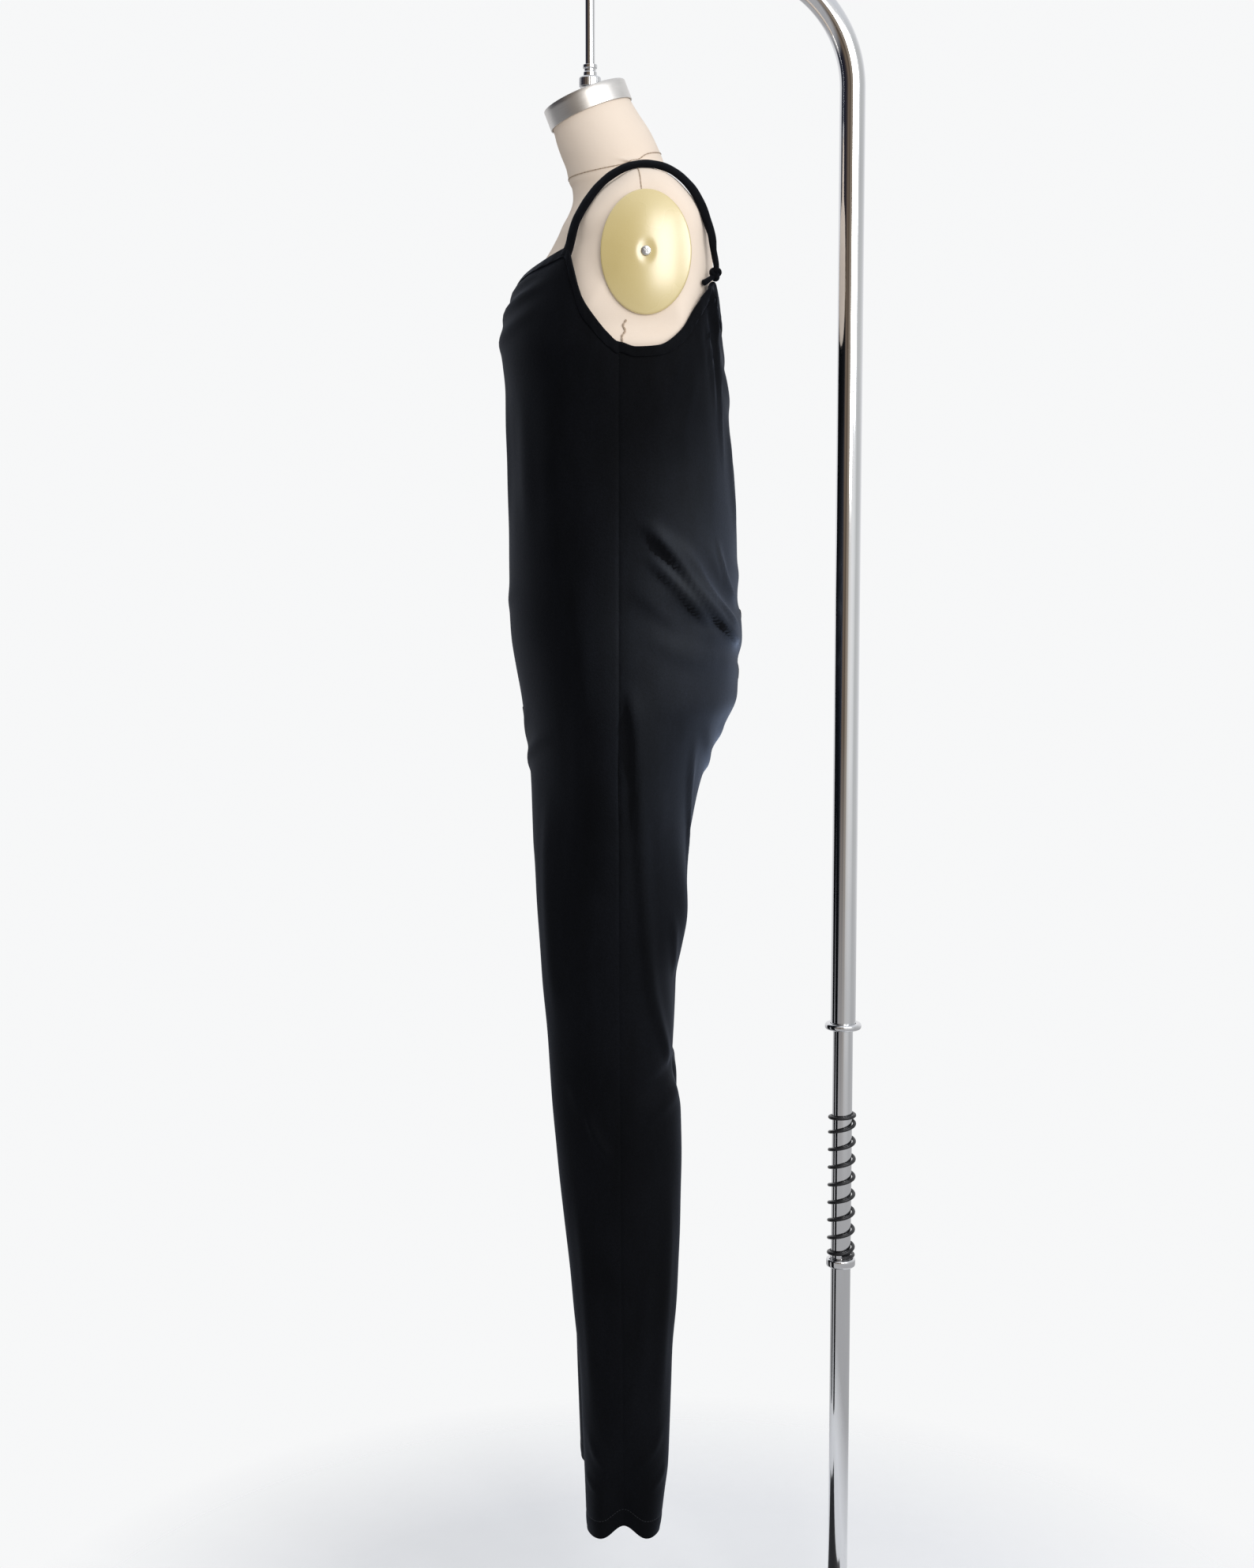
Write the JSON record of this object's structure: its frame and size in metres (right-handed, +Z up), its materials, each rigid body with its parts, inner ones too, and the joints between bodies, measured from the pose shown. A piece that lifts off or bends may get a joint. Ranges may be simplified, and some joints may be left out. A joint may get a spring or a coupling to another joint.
{
  "type": "velvet jumpsuit on a limbless dress form and stand",
  "caption": "Sleeveless velvet jumpsuit with tied shoulder straps and tapered legs, worn by a limbless linen dress form that hangs from a height-adjustable stand.",
  "frame": {"origin": "centre of the underside of the base plate, on the floor", "axes": "+Z up, the front of the garment faces -Y, the wearer's left side is +X"},
  "size_m": [0.46, 0.56, 1.948],
  "materials": {
    "velvet": "matte",
    "linen": "matte",
    "brushed_steel": "satin",
    "chrome": "polished",
    "cream_plate": "gloss",
    "black_steel": "satin"
  },
  "bodies": {
    "stand_base": {"base_plate": "black_steel", "pole_socket": "chrome", "inner_pole": "chrome", "stop_ring": "chrome", "spring": "black_steel"},
    "hanging_part": {"outer_tube": "chrome", "tube_collar": "chrome", "arm_end_cap": "chrome", "arm_nut": "chrome", "hanger_rod": "chrome", "lock_nut": "chrome", "swivel_nut": "chrome", "neck_cap": "brushed_steel", "form_torso": "linen", "arm_plate_left": "cream_plate", "arm_plate_right": "cream_plate", "plate_screw_left": "brushed_steel", "plate_screw_right": "brushed_steel", "panel_front_left": "velvet", "panel_front_right": "velvet", "panel_back_left": "velvet", "panel_back_right": "velvet", "armhole_binding_left": "velvet", "armhole_binding_right": "velvet", "neckline_binding_front": "velvet", "neckline_binding_back": "velvet", "hem_turning_left": "velvet", "hem_turning_right": "velvet", "strap_left": "velvet", "strap_right": "velvet", "strap_knot_left": "velvet", "strap_knot_right": "velvet", "strap_tail_left": "velvet", "strap_tail_right": "velvet"}
  },
  "joints": [
    {"name": "stand_height", "type": "slide", "parent": "stand_base", "child": "hanging_part", "axis": [0, 0, 1], "range_m": [-0.085, 0.25]}
  ]
}
